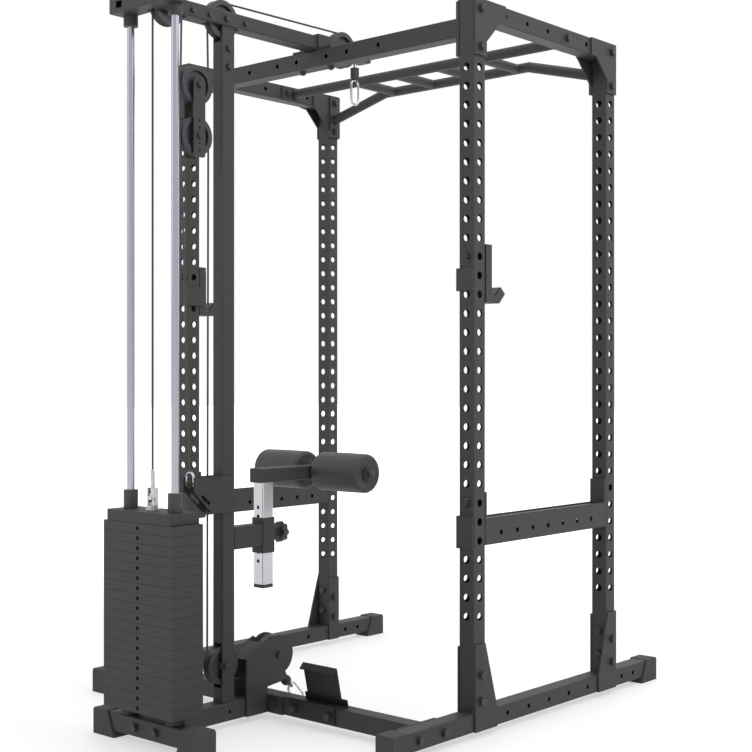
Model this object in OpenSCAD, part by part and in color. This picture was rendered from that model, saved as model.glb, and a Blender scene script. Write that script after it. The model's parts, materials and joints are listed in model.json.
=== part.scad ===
// Power cage with a weight stack tower behind it: lat and low cables, J-cups, safety arms and a leg holder.
// Millimetres. +Z is up, +Y points from the weight stack to the front of the cage.
// The origin is the middle of the bottom of the whole object.

/* [Cage] */
// Distance between the left and right upright centres
cage_w = 1140; // [950:10:1400]
// Distance between the rear and front upright centres
cage_d = 650; // [620:10:820]
// Height of the top of the uprights
cage_h = 1948; // [1850:10:2400]
// Side of the square frame tube
tube = 50; // [48:1:60]
// Wall of the frame tube
tube_wall = 2.5; // [2:0.5:4]
// Outside corner radius of the frame tube
tube_r = 4; // [3:0.5:8]
// Thickness of the corner plates and end flanges
plate_t = 5; // [4:0.5:6]
// Thickness of rubber under the base
foot_h = 17.5; // [12:0.5:25]
// Diameter of the adjustment holes
hole_d = 21; // [17:0.5:25]
// Pitch of the adjustment holes
hole_pitch = 50; // [45:1:55]
// Height of the lowest adjustment hole
hole_first = 318.4; // [300:0.1:340]
// Number of adjustment holes in each upright
hole_count = 30; // [24:1:30]
// Diameter of the frame bolts
bolt_d = 12; // [8:1:13]

/* [Pull-up bar] */
// Outside diameter of the bar
bar_d = 32; // [28:1:38]
// Wall of the bar
bar_wall = 2.5; // [2:0.5:4]
// Drop of the front bar's outer ends
bar_drop = 62; // [30:1:80]

/* [Weight stack] */
// Distance from the rear uprights back to the guide rods
stack_reach = 612; // [600:1:660]
// Width of a weight plate
plate_w = 282; // [250:1:340]
// Depth of a weight plate
plate_d = 100; // [90:1:120]
// Height taken by one weight plate
plate_pitch = 25.6; // [22:0.1:30]
// Number of plates under the top plate
plate_count = 19; // [12:1:19]
// Number of plates that the selector pin lifts
plates_lifted = 5; // [1:1:10]
// Height of the top plate
top_plate_h = 29; // [24:1:36]
// Distance from the middle to each guide rod
rod_x = 89.5; // [80:0.5:100]
// Diameter of a guide rod
rod_d = 20; // [16:1:26]
// Diameter of the selector pin
pin_d = 10; // [8:0.5:12]

/* [Cables] */
// Diameter of the cables
cable_d = 5.5; // [4:0.5:6.5]
// Outside radius of the pulleys
pulley_r = 53; // [45:0.5:58]
// Thickness of the pulleys
pulley_t = 25; // [20:0.5:27]
// Diameter of the pulley axles
axle_d = 10; // [8:1:12]
// Travel of the lat cable's grip end below the front pulley at rest
lat_drop = 42; // [36:1:60]

/* [Tower] */
// Distance from the rear uprights back to the tower post
post_reach = 365.5; // [340:0.5:380]
// Width of the tower post
post_w = 40; // [38:1:44]
// Depth of the tower post
post_d = 45; // [40:1:50]
// Width of the lat boom
boom_w = 50; // [46:1:56]
// Height of the lat boom
boom_h = 40; // [36:1:46]

/* [J-cups and safety arms] */
// Adjustment hole that carries the J-cups, counted from the bottom one
jcup_hole = 19; // [12:1:26]
// Adjustment hole that carries the safety arms
arm_hole = 6; // [4:1:9]
// Play between a pin and its adjustment hole, on the radius
pin_play = 0.75; // [0.3:0.05:1]

/* [Leg holder] */
// Diameter of the foam rollers
roller_d = 110; // [90:1:130]
// Length of one foam roller
roller_l = 175; // [120:1:200]
// Side of the height tube
height_side = 40; // [36:1:44]
// Pitch of the height tube's holes
height_pitch = 25; // [22:1:30]

/* [Hidden] */

$fn = 48;
cut = 1;            // how far a cutting shape runs past the face that it cuts
gap = 0.4;          // air between pieces that move past each other
fit = 0.05;         // running fit on the radius
bolt_play = 0.5;    // bolt in its hole, on the radius
frame_colour = [0.20, 0.20, 0.21];

// Cage
ux = cage_w / 2;
uy = cage_d / 2;
ht = tube / 2;
inner_x = ux - ht;              // inner faces of the uprights
outer_x = ux + ht;
inner_y = uy - ht;
rail_z = foot_h + ht;
rail_top = foot_h + tube;
beam_z = cage_h - ht;
rail_back = -uy - 347;
rail_front = uy + 259;
cap_end = 8;                    // rubber beyond the end of a tube
cap_side = 4;                   // rubber beside a tube
gusset_bolts = [rail_top + 29.5, rail_top + 98.5];
corner_bolts = [beam_z - 101, beam_z];
side_holes = [for (k = [0 : 4]) -207 + 100 * k];
side_hole_d = bolt_d + 2 * bolt_play;

// Stack and tower
stack_y = -uy - stack_reach;
post_y = -uy - post_reach;
foot_y = -uy - 199;             // rear bottom crossbeam
boom_top = cage_h - 7;
boom_z = boom_top - boom_h;
cross_z = boom_z - ht;          // rear top crossbeam
front_end = rail_front + cap_end;
back_end = stack_y - plate_d / 2;
cage_y = -(front_end + back_end) / 2;
bumper_h = 23;
stack_z = rail_top + bumper_h;
plate_gap = 0.6;
top_plate_z = stack_z + plate_count * plate_pitch;
pin_plate = plate_count - plates_lifted;
pin_z = stack_z + (pin_plate + 0.5) * plate_pitch;
stem_d = 24;
stem_top = top_plate_z + top_plate_h + 76;
rod_top = boom_top - 11;
member_back = stack_y - 48;     // stack-top crossmember
member_front = stack_y + 14;
member_w = 236;
crossbar_w = 408;
boom_front = -uy + 210;

// Pulleys: [y, z] of each centre
pitch_r = pulley_r - 4.5;
slot_w = pulley_t + 2;
hub_w = pulley_t + 8;
hub_r = axle_d / 2 + fit + 8;
top_pulley = [stack_y + pitch_r, boom_top - 21];
post_pulley = [post_y - 11.5, boom_top - 21];
fore_pulley = [-uy + 104.5, boom_top - 16];
block_y = stack_y + 142;
block_upper = [block_y, boom_top - 214];
block_lower = [block_y, boom_top - 349];
rear_pulley = [post_y - 11.5, rail_top + 101.5];
nose_pulley = [foot_y + 13, rail_top + 102.5];
anchor = [block_y - 15, rail_top + 599.5];
anchor_ball = 24;
lat_end = [-uy + 165, fore_pulley[1] - lat_drop];
low_ball_d = 30;
low_ball = [foot_y + 72, nose_pulley[1] - pitch_r - 37];
low_tilt = -47;                 // slope of what hangs on the low cable
low_lead_r = 60;                // the low cable's bend below the nose pulley
low_end = low_ball - (low_ball_d / 2 + 1) * [cos(-51), sin(-51)];
lat_route = [[stack_y, stem_top, 0], [top_pulley[0], top_pulley[1], pitch_r],
    [block_upper[0], block_upper[1], -pitch_r], [post_pulley[0], post_pulley[1], pitch_r],
    [fore_pulley[0], fore_pulley[1], pitch_r], [lat_end[0], lat_end[1], 0]];
low_route = [[anchor[0], anchor[1] + anchor_ball / 2, 0], [block_lower[0], block_lower[1], pitch_r],
    [rear_pulley[0], rear_pulley[1], -pitch_r],
    [nose_pulley[0], nose_pulley[1] - pitch_r - low_lead_r, low_lead_r],
    [low_end[0], low_end[1], 0]];

// J-cups and safety arms
jcup_z = hole_first + jcup_hole * hole_pitch;
arm_z = hole_first + arm_hole * hole_pitch;
hook_pin_d = hole_d - 2 * pin_play;
hook_t = 5;

// Leg holder
sleeve_y = foot_y - 17.5;
sleeve_wall = 3.2;
sleeve_in = height_side + 2 * gap;
sleeve_out = sleeve_in + 2 * sleeve_wall;
sleeve_z = rail_top + 391.5;
sleeve_h = 98;
knob_z = sleeve_z + 52;
height_z = rail_top + 303.5;
height_l = 284;
roller_axis = [foot_y + 193, height_z + height_l + 22];
roller_bore = 25;
knob_rod = 10;

// A point of the cable: its heading, then where it lies on a wheel of signed radius (positive is clockwise)
function heading(a, b) = atan2(b[1] - a[1], b[0] - a[0])
    - asin((a[2] - b[2]) / norm([b[0] - a[0], b[1] - a[1]]));
function turn(t, r) = r > 0 ? (t > 0 ? t - 360 : t) : (t < 0 ? t + 360 : t);
function on_wheel(p, h) = [p[0] - p[2] * sin(h), p[1] + p[2] * cos(h), h];
function wrap(a, b, c) = let (h = heading(a, b), t = turn(heading(b, c) - h, b[2]), n = ceil(abs(t) / 10))
    [for (i = [0 : n]) on_wheel(b, h + t * i / n)];
function cable_path(route) = let (last = len(route) - 1) concat(
    [on_wheel(route[0], heading(route[0], route[1]))],
    [for (i = [1 : last - 1]) each wrap(route[i - 1], route[i], route[i + 1])],
    [on_wheel(route[last], heading(route[last - 1], route[last]))]);

module place() { translate([0, cage_y, 0]) children(); }
module mirrored() { mirror([1, 0, 0]) children(); }
module both() { children(); mirrored() children(); }
module fore_aft() { children(); mirror([0, 1, 0]) children(); }

// Plate whose outline is given in [Y, Z], from x0 towards +X
module slab_x(x0, t) { translate([x0, 0, 0]) rotate([90, 0, 90]) linear_extrude(t) children(); }
// Plate whose outline is given in [X, Z], from y0 towards +Y
module slab_y(y0, t) { translate([0, y0 + t, 0]) rotate([90, 0, 0]) linear_extrude(t) children(); }
module rod_along_x(x0, x1, y, z, d) { translate([x0, y, z]) rotate([0, 90, 0]) cylinder(d = d, h = x1 - x0); }
module rod_along_y(x, y0, y1, z, d) { translate([x, y0, z]) rotate([-90, 0, 0]) cylinder(d = d, h = y1 - y0); }
module rod_up(x, y, z0, z1, d) { translate([x, y, z0]) cylinder(d = d, h = z1 - z0); }
module block(x0, x1, y0, y1, z0, z1) { translate([x0, y0, z0]) cube([x1 - x0, y1 - y0, z1 - z0]); }

module soft_rect(a, b, r) {
    square([a - 2 * r, b], center = true);
    square([a, b - 2 * r], center = true);
    for (i = [-1, 1], j = [-1, 1]) translate([i * (a / 2 - r), j * (b / 2 - r)]) circle(r);
}
module half_disc(d) {
    intersection() {
        circle(d = d);
        translate([0, -d]) square([d, 2 * d]);
    }
}
module tube_outline(a, b, wall = tube_wall, r = tube_r) {
    difference() {
        soft_rect(a, b, r);
        soft_rect(a - 2 * wall, b - 2 * wall, max(r - wall, 0.5));
    }
}
module frame_tube_x(x0, x1, y, z) { slab_x(x0, x1 - x0) translate([y, z]) tube_outline(tube, tube); }
module frame_tube_y(x, y0, y1, z) { slab_y(y0, y1 - y0) translate([x, z]) tube_outline(tube, tube); }
// A bent strip of sheet metal through the given points
module strip(points, t) {
    for (i = [0 : len(points) - 2]) let (a = points[i], b = points[i + 1]) {
        translate(a) rotate(atan2(b[1] - a[1], b[0] - a[0])) translate([0, -t / 2]) square([norm(b - a), t]);
        translate(b) circle(d = t, $fn = 24);
    }
}
// Hexagon bolt along +Z: nut below 0, head above the grip
module bolt(grip, d = bolt_d) {
    washer = 2;
    head = 0.62 * d;
    translate([0, 0, -washer - head - 2]) cylinder(d = d, h = grip + 2 * washer + head + 3, $fn = 24);
    for (z = [-washer, grip]) translate([0, 0, z]) cylinder(d = 2 * d, h = washer, $fn = 32);
    for (z = [-washer - head, grip + washer]) translate([0, 0, z]) cylinder(d = 1.85 * d, h = head, $fn = 6);
}
module bolt_x(x0, x1, y, z, d = bolt_d) { translate([x0, y, z]) rotate([0, 90, 0]) bolt(x1 - x0, d); }
module bolt_y(x, y0, y1, z, d = bolt_d) { translate([x, y1, z]) rotate([90, 0, 0]) bolt(y1 - y0, d); }
module bolt_hole_x(x0, x1, y, z, d = bolt_d) { rod_along_x(x0 - cut, x1 + cut, y, z, d + 2 * bolt_play); }
module bolt_hole_y(x, y0, y1, z, d = bolt_d) { rod_along_y(x, y0 - cut, y1 + cut, z, d + 2 * bolt_play); }

// Base
module rail() {
    difference() {
        union() {
            frame_tube_y(ux, rail_back, rail_front, rail_z);
            fore_aft() slab_x(outer_x, plate_t) polygon([[inner_y - 47, foot_h], [inner_y - 47, rail_top],
                [inner_y + 6, rail_top + 180], [uy + ht, rail_top + 180], [uy + ht, foot_h]]);
            fore_aft() slab_x(inner_x - plate_t, plate_t) polygon([[inner_y, foot_h], [inner_y, rail_top + 170],
                [uy + ht, rail_top + 170], [uy + ht, foot_h]]);
        }
        for (y = [-200 : 100 : 200]) bolt_hole_x(inner_x, outer_x, y, rail_z);
        for (y = [uy + 65, uy + 130, foot_y - 50, foot_y + 50]) bolt_hole_x(inner_x, outer_x, y, rail_z);
        fore_aft() for (z = gusset_bolts) bolt_hole_x(inner_x - plate_t, outer_x + plate_t, uy, z);
    }
}
module base_rail_right() { color(frame_colour) place() rail(); }
module base_rail_left() { color(frame_colour) place() mirrored() rail(); }

// Rubber shoe around a tube end that points along +X from the origin, tube centre at rail height
module end_cap() {
    length = 52;
    splay = 28;
    difference() {
        slab_y(-ht - cap_side, tube + 2 * cap_side) polygon([[cap_end, 0], [cap_end, rail_top - 4],
            [cap_end - 4, rail_top + 2], [-length, rail_top + 2], [-length - splay, 0]]);
        slab_x(-length - splay - cut, length + splay + cut) translate([0, rail_z]) soft_rect(tube, tube, tube_r);
        for (y = [-1, 1]) translate([-length - splay - cut, y * (ht + cap_side) - (y > 0 ? 0 : cut), 0])
            cube([length + splay + cap_end + 2 * cut, cut, rail_top + 3]);
    }
}
module rubber_end_caps() {
    color([0.12, 0.12, 0.13]) place() both() {
        translate([ux, rail_front, 0]) rotate([0, 0, 90]) end_cap();
        translate([ux, rail_back, 0]) rotate([0, 0, -90]) end_cap();
        translate([crossbar_w / 2, stack_y, 0]) end_cap();
    }
}

// Uprights and top frame
module upright(y) {
    difference() {
        translate([ux, y, rail_top]) linear_extrude(cage_h - rail_top) tube_outline(tube, tube);
        for (k = [0 : hole_count - 1]) let (z = hole_first + k * hole_pitch) {
            rod_along_x(inner_x - cut, outer_x + cut, y, z, hole_d);
            rod_along_y(ux, y - ht - cut, y + ht + cut, z, hole_d);
        }
        for (z = concat(gusset_bolts, corner_bolts)) bolt_hole_x(inner_x, outer_x, y, z);
        if (y > 0) for (z = gusset_bolts) bolt_hole_y(ux, y - ht, y + ht, z + ht);
    }
}
module upright_rear_right() { color(frame_colour) place() upright(-uy); }
module upright_front_right() { color(frame_colour) place() upright(uy); }
module upright_front_left() { color(frame_colour) place() mirrored() upright(uy); }
module upright_rear_left() { color(frame_colour) place() mirrored() upright(-uy); }

module corner_plate(reach, brace) {
    polygon([[inner_y - reach, cage_h], [inner_y - reach, cage_h - tube], [inner_y - brace, cage_h - tube - 3],
        [inner_y, cage_h - tube - 3 - brace], [inner_y, cage_h - 150], [uy + ht, cage_h - 150],
        [uy + ht, cage_h]]);
}
module side_beam() {
    difference() {
        union() {
            frame_tube_y(ux, -inner_y, inner_y, beam_z);
            fore_aft() slab_x(outer_x, plate_t) corner_plate(86, 57);
            fore_aft() slab_x(inner_x - plate_t, plate_t) corner_plate(78, 72);
        }
        for (y = side_holes) bolt_hole_x(inner_x - plate_t, outer_x + plate_t, y, beam_z);
        fore_aft() for (z = corner_bolts) bolt_hole_x(inner_x - plate_t, outer_x + plate_t, uy, z);
    }
}
module top_side_beam_right() { color(frame_colour) place() side_beam(); }
module top_side_beam_left() { color(frame_colour) place() mirrored() side_beam(); }

flange_x = inner_x - plate_t;       // inner corner plates end here, and the cross pieces' flanges begin
clamp_bolt_x = boom_w / 2 + 32;
module rear_top_crossbeam() {
    color(frame_colour) place() difference() {
        union() {
            frame_tube_x(-flange_x + plate_t, flange_x - plate_t, -uy, cross_z);
            both() block(flange_x - plate_t, flange_x, -uy - ht, -inner_y, cage_h - 148, cage_h - 3);
        }
        both() for (z = corner_bolts) bolt_hole_x(flange_x - plate_t, flange_x, -uy, z);
        both() for (x = [60, 140, 260]) bolt_hole_y(x, -uy - ht, -inner_y, cross_z);
        both() rod_up(clamp_bolt_x, -uy, cross_z - ht - cut, cross_z + ht + cut, 10 + 2 * bolt_play);
        both() rod_up(200, -uy, cross_z - ht - cut, cross_z, 8);
    }
}

// Pull-up bar
bar_z = beam_z + 1;
bar_back = side_holes[3] + 36;
bar_bend = 0.525 * ux;
bar_angle = atan2(bar_drop, flange_x - plate_t - bar_bend);
bar_lap = 2.5;                      // how far the straight runs cross at each bend
module bar_runs(d, reach) {
    rod_along_x(-inner_x + plate_t - reach, inner_x - plate_t + reach, bar_back, bar_z, d);
    rod_along_x(-bar_bend - bar_lap, bar_bend + bar_lap, uy, bar_z, d - 1);
    for (x = [85, 255]) both() rod_along_y(x, bar_back, uy, bar_z, d - 2);
    both() translate([bar_bend, uy, bar_z]) rotate([0, 90 + bar_angle, 0]) translate([0, 0, -bar_lap - 0.5])
        cylinder(d = d, h = (flange_x - bar_bend) / cos(bar_angle) + bar_lap + reach);
}
module pull_up_bar() {
    color(frame_colour) place() difference() {
        union() {
            bar_runs(bar_d, 0);
            both() block(flange_x - plate_t, flange_x, inner_y, uy + ht, cage_h - 148, cage_h - 3);
            both() block(inner_x - plate_t, inner_x, side_holes[3] - ht, bar_back + ht + 6, beam_z - 22, beam_z + 22);
        }
        bar_runs(bar_d - 2 * bar_wall, plate_t + cut);
        both() block(flange_x, flange_x + 12, inner_y - cut, uy + ht + cut, cage_h - 150, cage_h);
        both() for (z = corner_bolts) bolt_hole_x(flange_x - plate_t, flange_x, uy, z);
        both() bolt_hole_x(inner_x - plate_t, inner_x, side_holes[3], beam_z);
    }
}

// Crosspieces of the base
tab_x = 222;                        // middle of the foot plate
tab_bolts = [tab_x - 91, tab_x + 38];
module rear_bottom_crossbeam() {
    color(frame_colour) place() difference() {
        union() {
            frame_tube_x(-inner_x + plate_t, inner_x - plate_t, foot_y, rail_z);
            both() block(inner_x - plate_t, inner_x, foot_y - 76, foot_y + 76, foot_h, rail_top);
        }
        both() for (y = [-50, 50]) bolt_hole_x(inner_x - plate_t, inner_x, foot_y + y, rail_z);
        both() bolt_hole_y(joint_bolt_x, foot_y - ht, foot_y + ht, rail_z);
        for (x = tab_bolts) bolt_hole_y(x, foot_y - ht, foot_y + ht, rail_z);
    }
}
joint_bolt_x = ht + 27;
crossbar_bolt_x = ht + 16;
module stack_base_crossbar() {
    color(frame_colour) place() difference() {
        frame_tube_x(-crossbar_w / 2, crossbar_w / 2, stack_y, rail_z);
        both() bolt_hole_y(crossbar_bolt_x, stack_y - ht, stack_y + ht, rail_z);
    }
}
module base_beam() {
    back = stack_y + ht;
    front = foot_y - ht;
    color(frame_colour) place() difference() {
        union() {
            frame_tube_y(0, back + plate_t, front - plate_t, rail_z);
            block(-ht - 38, ht + 38, back, back + plate_t, foot_h, rail_top);
            block(-ht - 63, ht + 63, front - plate_t, front, foot_h, rail_top);
        }
        both() bolt_hole_y(crossbar_bolt_x, back, back + plate_t, rail_z);
        both() bolt_hole_y(joint_bolt_x, front - plate_t, front, rail_z);
        rod_along_x(-ht - cut, ht + cut, post_y, rail_z, 9);
    }
}
module foot_plate() {
    t = 4;
    back = foot_y - ht - t / 2;
    deck = rail_top + t / 2;
    profile = [[back, foot_h + 6], [back, deck], [foot_y + 2, deck], [foot_y - 21, rail_top + 104],
        [foot_y - 34, rail_top + 91]];
    color([0.07, 0.07, 0.08]) place() difference() {
        union() {
            slab_x(tab_x - 62, 124) strip(profile, t);
            slab_x(tab_x - 72, 155) strip([profile[1], profile[2], [foot_y - 2, rail_top + 20]], t);
            slab_x(tab_x - 108, 166) strip([profile[0], profile[1]], t);
        }
        for (x = tab_bolts) bolt_hole_y(x, foot_y - ht - t, foot_y - ht, rail_z);
    }
}

// Weight stack
module guide_rods() {
    color([0.75, 0.75, 0.78]) place() both() rod_up(rod_x, stack_y, rail_top, rod_top, rod_d);
}
module stack_bumpers() {
    color([0.10, 0.10, 0.11]) place() both() difference() {
        rod_up(rod_x, stack_y, rail_top, stack_z - gap, 50);
        rod_up(rod_x, stack_y, rail_top - cut, stack_z + cut, rod_d);
    }
}
module plate_blank(w, d, h) {
    difference() {
        linear_extrude(h) soft_rect(w, d, 3);
        for (x = [-rod_x, rod_x]) rod_up(x, 0, -cut, h + cut, rod_d + 3);
        rod_up(0, 0, -cut, h + cut, stem_d + 2);
    }
}
module stack_plates(first, last) {
    for (k = [first : last]) translate([0, stack_y, stack_z + k * plate_pitch]) difference() {
        plate_blank(plate_w, plate_d, plate_pitch - plate_gap);
        rod_along_y(0, -plate_d / 2 - cut, plate_d / 2 + cut, (plate_pitch - plate_gap) / 2, pin_d + 1);
    }
}
module resting_plates() { color([0.26, 0.26, 0.27]) place() stack_plates(0, pin_plate - 1); }
module lifted_plates() { color([0.26, 0.26, 0.27]) place() stack_plates(pin_plate, plate_count - 1); }
module stack_top_plate() {
    color([0.24, 0.24, 0.25]) place() translate([0, stack_y, top_plate_z])
        plate_blank(plate_w - 30, plate_d, top_plate_h);
}
module guide_bushes() {
    color([0.16, 0.16, 0.17]) place() both() difference() {
        rod_up(rod_x, stack_y, top_plate_z + top_plate_h, top_plate_z + top_plate_h + 49, 38);
        rod_up(rod_x, stack_y, top_plate_z, top_plate_z + top_plate_h + 50, rod_d + 2 * gap);
    }
}
module selector_stem() {
    top = top_plate_z + top_plate_h;
    color([0.70, 0.70, 0.72]) place() difference() {
        union() {
            rod_up(0, stack_y, stack_z + 4, top + 12, stem_d);
            translate([0, stack_y, top]) cylinder(d = 40, h = 4);
            translate([0, stack_y, top + 4]) cylinder(d = 30, h = 9, $fn = 6);
            for (x = [-13, 8]) block(x, x + 5, stack_y - 8, stack_y + 8, top + 10, top + 58);
            rod_along_x(-16, 16, stack_y, top + 30, 9);
            rod_up(0, stack_y, top + 38, stem_top, 11);
            rod_along_x(-7, 7, stack_y, top + 30, 20);
            block(-5, 5, stack_y - 6, stack_y + 6, top + 30, top + 44);
        }
        for (k = [0 : plate_count - 1])
            rod_along_y(0, stack_y - stem_d, stack_y + stem_d,
                stack_z + k * plate_pitch + (plate_pitch - plate_gap) / 2, pin_d + 1);
    }
}
module selector_pin() {
    z = pin_z - plate_gap / 2;
    face = stack_y + plate_d / 2 + gap;
    color([0.08, 0.08, 0.09]) place() {
        rod_along_y(0, stack_y - stem_d / 2 - 4, face + 10, z, pin_d);
        rod_along_y(0, face, face + 6, z, 22);
        rod_along_y(0, face + 6, face + 30, z, 28);
    }
}
module stack_top_crossmember() {
    wall = 3;
    depth = member_front - member_back;
    mid = (member_back + member_front) / 2;
    color(frame_colour) place() difference() {
        union() {
            slab_x(-member_w / 2, member_w) translate([mid, boom_z + boom_h / 2 - 2])
                tube_outline(depth, boom_h, wall, 5);
            both() block(member_w / 2 - wall, member_w / 2, member_back + 2, member_front - 2, boom_z, boom_top - 4);
            both() rod_up(rod_x, stack_y, boom_z - 30, boom_z, 38);
        }
        both() rod_up(rod_x, stack_y, boom_z - 31, rod_top, rod_d);
        block(-slot_w / 2, slot_w / 2, top_pulley[0] - pulley_r - 4, member_front + cut, boom_z - 5, boom_top + cut);
        both() block(67, 91, member_back - cut, member_back + 8, boom_z + 9, boom_z + 27);
    }
}

// Tower
module post_outline() { tube_outline(post_w, post_d); }
stub_z = boom_z - 120;
stub_bolts = [stub_z + 12, stub_z + 62];
module tower_post() {
    color(frame_colour) place() difference() {
        translate([0, post_y, rail_top]) linear_extrude(stub_z - rail_top) post_outline();
        block(-slot_w / 2, slot_w / 2, post_y - post_d, post_y + post_d, rear_pulley[1] - pulley_r - 8,
            rear_pulley[1] + pulley_r + 8);
        block(-hub_w / 2 - gap, hub_w / 2 + gap, post_y - post_d, post_y + post_d, rear_pulley[1] - hub_r - 3,
            rear_pulley[1] + hub_r + 3);
        rod_along_x(-post_w, post_w, rear_pulley[0], rear_pulley[1], axle_d + 1);
    }
}
spacer_y = [top_pulley[0] + 66, post_pulley[0] - 61, post_pulley[0] + 68];
module lat_boom() {
    pulleys = [top_pulley, post_pulley, fore_pulley];
    color(frame_colour) place() difference() {
        union() {
            slab_y(member_front, boom_front - member_front) translate([0, boom_z + boom_h / 2])
                tube_outline(boom_w, boom_h);
            translate([0, boom_front - 3, boom_z + boom_h / 2]) rotate([-90, 0, 0]) linear_extrude(3)
                soft_rect(boom_w, boom_h, tube_r);
            translate([0, post_y, stub_z]) linear_extrude(boom_z - stub_z) post_outline();
        }
        for (p = pulleys) {
            block(-slot_w / 2, slot_w / 2, p[0] - pulley_r - 4, p[0] + pulley_r + 4, p[1] - pulley_r - 8,
                boom_top + cut);
            rod_along_x(-boom_w, boom_w, p[0], p[1], axle_d + 1);
        }
        block(-slot_w / 2, slot_w / 2, member_front - cut, top_pulley[0], boom_z - cut, boom_top + cut);
        block(-6, 6, fore_pulley[0], lat_end[0] + 12, boom_z - cut, boom_z + 5);
        for (y = spacer_y) bolt_hole_x(-boom_w / 2, boom_w / 2, y, boom_top - 22, 8);
        for (z = stub_bolts) bolt_hole_x(-post_w / 2, post_w / 2, post_y, z, 10);
    }
}
module boom_clamp() {
    t = 5;
    h = boom_top + t;
    color(frame_colour) place() difference() {
        union() {
            both() block(boom_w / 2 + gap, boom_w / 2 + 50, -uy - ht, -inner_y, boom_z, boom_z + t);
            both() block(boom_w / 2 + gap, boom_w / 2 + gap + t, -uy - ht, -inner_y, boom_z, h);
            block(-boom_w / 2 - gap - t, boom_w / 2 + gap + t, -uy - ht, -inner_y, boom_top + gap, h);
        }
        both() rod_up(clamp_bolt_x, -uy, boom_z - cut, boom_z + t + cut, 10 + 2 * bolt_play);
    }
}
module pulley_axles() {
    color([0.15, 0.15, 0.16]) place() {
        for (p = [top_pulley, post_pulley, fore_pulley]) bolt_x(-boom_w / 2, boom_w / 2, p[0], p[1], axle_d);
        bolt_x(-post_w / 2, post_w / 2, rear_pulley[0], rear_pulley[1], axle_d);
        bolt_x(-ht - cheek_t, ht + cheek_t, nose_pulley[0], nose_pulley[1], axle_d);
    }
}
cheek_t = 6;
module low_pulley_housing() {
    n = nose_pulley;
    color(frame_colour) place() difference() {
        union() {
            both() slab_x(ht, cheek_t) {
                polygon([[n[0] - 122, foot_h], [n[0] - 122, n[1] + 4], [n[0] - 104, n[1] + 23],
                    [n[0] - 43, n[1] + 53], n, [n[0] + 32, n[1] - 61], [n[0] + 21, n[1] - 75],
                    [foot_y - ht - plate_t, n[1] - 82], [foot_y - ht - plate_t - 3, foot_h]]);
                translate(n) intersection() {
                    circle(r = pulley_r + 3);
                    translate([-43, -61]) square([120, 130]);
                }
            }
            slab_x(-ht, tube) translate(n)
                polygon([[-119, 3.6], [-103.6, 22], [-61.1, 43.2], [-58.9, 38.8], [-100.4, 18], [-115.1, 0.4]]);
        }
        bolt_hole_x(-ht - cheek_t, ht + cheek_t, n[0], n[1], axle_d);
    }
}
module anchor_bracket() {
    x0 = post_w / 2;
    back = post_y - 125.5;
    color(frame_colour) place() {
        both() slab_x(x0, 5) difference() {
            polygon([[back, anchor[1] - 21], [back, anchor[1] + 16], [post_y + 10, anchor[1] + 16],
                [post_y + 10, anchor[1] - 84], [back + 72, anchor[1] - 84], [back + 56, anchor[1] - 74]]);
            translate([back + 19, anchor[1] - 27]) rotate(-40) translate([8, -5]) square([38, 10]);
        }
        translate([0, anchor[0], anchor[1]]) rotate([0, 90, 0]) rotate_extrude() {
            half_disc(anchor_ball);
            translate([0, -x0]) square([4, 2 * x0]);
        }
    }
}

// Frame bolts, all in one group
module frame_bolts() {
    color([0.10, 0.10, 0.11]) place() {
        both() fore_aft() {
            for (z = gusset_bolts) bolt_x(inner_x - plate_t, outer_x + plate_t, uy, z);
            for (z = corner_bolts) bolt_x(inner_x - 2 * plate_t, outer_x + plate_t, uy, z);
        }
        both() {
            for (z = gusset_bolts) bolt_y(ux, inner_y, uy + ht, z + ht);
            bolt_x(inner_x - plate_t, outer_x, side_holes[3], beam_z);
            for (y = [-50, 50]) bolt_x(inner_x - plate_t, outer_x, foot_y + y, rail_z);
            bolt_y(crossbar_bolt_x, stack_y - ht, stack_y + ht + plate_t, rail_z);
            bolt_y(joint_bolt_x, foot_y - ht - plate_t, foot_y + ht, rail_z);
            translate([clamp_bolt_x, -uy, cross_z - ht]) bolt(tube + 5, 10);
        }
        for (x = tab_bolts) bolt_y(x, foot_y - ht - 4, foot_y + ht, rail_z);
        for (z = stub_bolts) bolt_x(-post_w / 2, post_w / 2, post_y, z, 10);
        for (y = spacer_y) bolt_x(-boom_w / 2, boom_w / 2, y, boom_top - 22, 8);
    }
}

// Pulleys
module pulley(p) {
    groove = cable_d / 2 + 0.3;
    place() translate([-hub_w / 2, p[0], p[1]]) rotate([0, 90, 0]) rotate_extrude() difference() {
        union() {
            translate([axle_d / 2 + fit, 0]) square([hub_r - axle_d / 2 - fit, hub_w]);
            translate([axle_d / 2 + fit, (hub_w - 9) / 2]) square([pulley_r - 16, 9]);
            translate([pulley_r - 19, (hub_w - pulley_t) / 2]) square([19, pulley_t]);
        }
        translate([pitch_r, hub_w / 2]) circle(r = groove);
        translate([pitch_r, hub_w / 2]) polygon([[0, -groove], [0, groove], [6, groove + 5], [6, -groove - 5]]);
    }
}
pulley_colour = [0.09, 0.09, 0.10];
module stack_top_pulley() { color(pulley_colour) pulley(top_pulley); }
module post_top_pulley() { color(pulley_colour) pulley(post_pulley); }
module front_pulley() { color(pulley_colour) pulley(fore_pulley); }
module low_rear_pulley() { color(pulley_colour) pulley(rear_pulley); }
module low_front_pulley() { color(pulley_colour) pulley(nose_pulley); }
module block_upper_pulley() { color(pulley_colour) pulley(block_upper); }
module block_lower_pulley() { color(pulley_colour) pulley(block_lower); }
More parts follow.
